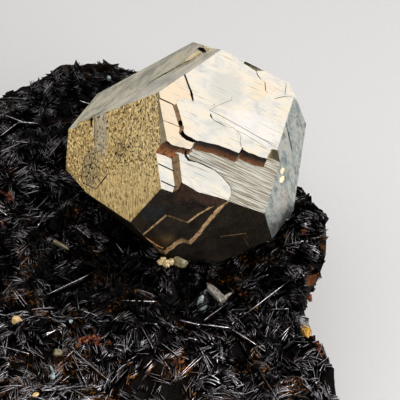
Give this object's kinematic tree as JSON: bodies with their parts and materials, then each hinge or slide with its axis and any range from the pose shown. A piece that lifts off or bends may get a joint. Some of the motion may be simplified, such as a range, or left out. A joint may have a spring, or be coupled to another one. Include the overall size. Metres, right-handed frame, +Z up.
{
  "type": "pyrite with hematite specimen",
  "caption": "Mineral specimen: a large striated pyrite crystal with stepped growth faces, seated on a broken slab of bladed hematite with small quartz crystals.",
  "frame": {"origin": "on the flat underside that the specimen rests on, below the middle of the hematite slab", "axes": "+Z up out of the flat underside, +X towards the side that the pyrite crystal stands at, +Y away from the near side"},
  "size_m": [0.0567, 0.0688, 0.0372],
  "materials": {
    "pyrite": "striated metallic crystal faces, brassy with grey and bronze tarnish",
    "hematite": "black metallic blades with rust-brown stains",
    "quartz": "milky cream crystal",
    "amber_quartz": "clear amber crystal"
  },
  "bodies": {
    "root": {"pyrite_crystal": "pyrite", "hematite_matrix": "hematite", "quartz_front": "quartz", "quartz_amber": "amber_quartz", "quartz_cream": "quartz", "quartz_grey": "quartz"}
  },
  "joints": []
}
